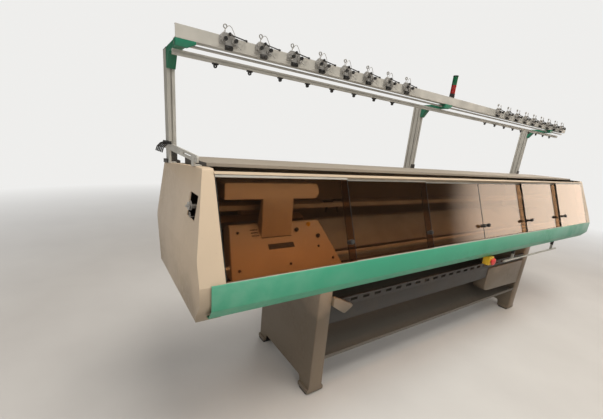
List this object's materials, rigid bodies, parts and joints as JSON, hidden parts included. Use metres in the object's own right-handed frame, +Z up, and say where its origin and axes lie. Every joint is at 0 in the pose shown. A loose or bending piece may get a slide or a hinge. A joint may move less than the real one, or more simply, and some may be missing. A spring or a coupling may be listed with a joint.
{
  "type": "flat knitting machine",
  "caption": "Long two-bed knitting machine with sliding smoked covers, a cam carriage, a green front rail, pedestals and a yarn creel on posts.",
  "frame": {"origin": "on the floor under the centre of the machine's box", "axes": "+X along the needle beds to the operator's right, +Y from the operator to the back, +Z up"},
  "size_m": [4.54, 0.942, 2.157],
  "materials": {
    "beige_paint": "semi-gloss taupe-beige machine enamel, dusty and lightly marked",
    "green_paint": "semi-gloss green enamel, rubbed at its edges",
    "grey_paint": "light grey enamel on sheet",
    "dark_iron": "dark painted castings",
    "bright_steel": "ground and plated steel",
    "aluminium": "drawn aluminium sections, satin",
    "black_plastic": "black moulded plastic",
    "roller_rubber": "ribbed black rubber",
    "smoked_sheet": "smoked brown clear sheet",
    "yellow_plastic": "yellow moulded plastic",
    "amber_lens": "amber lens",
    "red_plastic": "red moulded plastic",
    "red_lens": "translucent red lens",
    "green_lens": "translucent green lens"
  },
  "bodies": {
    "frame": {"left_pedestal": "beige_paint", "right_pedestal": "beige_paint", "left_end_cover": "beige_paint", "right_end_cover": "beige_paint", "drive_box": "beige_paint", "upper_cover_track": "beige_paint", "front_rail": "green_paint", "creel_arms": "green_paint", "rear_panel": "grey_paint", "top_shelf": "grey_paint", "fabric_tray": "grey_paint", "bed_beam": "dark_iron", "end_frames": "dark_iron", "rail_brackets": "dark_iron", "roller_plates": "dark_iron", "takedown_guard": "dark_iron", "post_feet": "dark_iron", "guide_rails": "bright_steel", "front_needle_bed": "bright_steel", "yarn_rails": "bright_steel", "guide_rod": "bright_steel", "tensioner_units": "bright_steel", "side_tensioner": "bright_steel", "lower_cover_track": "aluminium", "creel_posts": "aluminium", "creel_rail": "aluminium", "eyelet_bar": "aluminium", "side_bar": "aluminium", "levelling_pads": "black_plastic", "yarn_eyelets": "black_plastic", "tensioner_bases": "black_plastic", "lamp_base": "black_plastic", "estop_box": "yellow_plastic", "lamp_red": "red_lens", "lamp_green": "green_lens"},
    "carriage": {"carriage_bow": "beige_paint", "carriage_crossbar": "beige_paint", "front_cam_housing": "beige_paint", "rear_cam_housing": "beige_paint", "carriage_bearings": "bright_steel", "carriage_lamp": "amber_lens"},
    "rear_bed": {"rear_needle_bed": "bright_steel"},
    "carrier_1": {"yarn_carrier_1": "dark_iron"},
    "carrier_2": {"yarn_carrier_2": "dark_iron"},
    "takedown": {"takedown_roller": "roller_rubber"},
    "presser": {"pressure_roller": "bright_steel"},
    "start_lever": {"start_bar": "aluminium"},
    "stop_button": {"estop_button": "red_plastic"},
    "sliding_cover_1": {"cover_1": "smoked_sheet", "cover_fittings_1": "aluminium"},
    "sliding_cover_2": {"cover_2": "smoked_sheet", "cover_fittings_2": "aluminium"},
    "sliding_cover_3": {"cover_3": "smoked_sheet", "cover_fittings_3": "aluminium"},
    "sliding_cover_4": {"cover_4": "smoked_sheet", "cover_fittings_4": "aluminium"},
    "sliding_cover_5": {"cover_5": "smoked_sheet", "cover_fittings_5": "aluminium"},
    "sliding_cover_6": {"cover_6": "smoked_sheet", "cover_fittings_6": "aluminium"}
  },
  "joints": [
    {"name": "carriage_travel", "type": "slide", "parent": "frame", "child": "carriage", "axis": [1, 0, 0], "range_m": [0, 3.21]},
    {"name": "bed_racking", "type": "slide", "parent": "frame", "child": "rear_bed", "axis": [1, 0, 0], "range_m": [-0.0254, 0.0254]},
    {"name": "carrier_1_travel", "type": "slide", "parent": "frame", "child": "carrier_1", "axis": [1, 0, 0], "range_m": [-0.1, 2.45]},
    {"name": "carrier_2_travel", "type": "slide", "parent": "frame", "child": "carrier_2", "axis": [1, 0, 0], "range_m": [-0.2, 2.35]},
    {"name": "takedown_spin", "type": "hinge", "parent": "frame", "child": "takedown", "pos_m": [-0.16, 0.0515, 0.72], "axis": [1, 0, 0], "continuous": true},
    {"name": "presser_spin", "type": "hinge", "parent": "frame", "child": "presser", "pos_m": [-0.16, -0.0245, 0.72], "axis": [1, 0, 0], "continuous": true},
    {"name": "start_bar_swing", "type": "hinge", "parent": "frame", "child": "start_lever", "pos_m": [0.34, -0.407, 0.811], "axis": [1, 0, 0], "range_deg": [-12, 12], "stiffness_Nm_per_rad": 30},
    {"name": "stop_press", "type": "slide", "parent": "frame", "child": "stop_button", "axis": [0, 1, 0], "range_m": [0, 0.004]},
    {"name": "cover_1_slide", "type": "slide", "parent": "frame", "child": "sliding_cover_1", "axis": [1, 0, 0], "range_m": [0, 0.6]},
    {"name": "cover_2_slide", "type": "slide", "parent": "frame", "child": "sliding_cover_2", "axis": [1, 0, 0], "range_m": [-0.6, 0]},
    {"name": "cover_3_slide", "type": "slide", "parent": "frame", "child": "sliding_cover_3", "axis": [1, 0, 0], "range_m": [-0.6, 0]},
    {"name": "cover_4_slide", "type": "slide", "parent": "frame", "child": "sliding_cover_4", "axis": [1, 0, 0], "range_m": [0, 0.6]},
    {"name": "cover_5_slide", "type": "slide", "parent": "frame", "child": "sliding_cover_5", "axis": [1, 0, 0], "range_m": [0, 0.6]},
    {"name": "cover_6_slide", "type": "slide", "parent": "frame", "child": "sliding_cover_6", "axis": [1, 0, 0], "range_m": [-0.6, 0]}
  ],
  "couplings": [
    {"joint": "presser_spin", "follows": "takedown_spin", "ratio": -1.5}
  ]
}
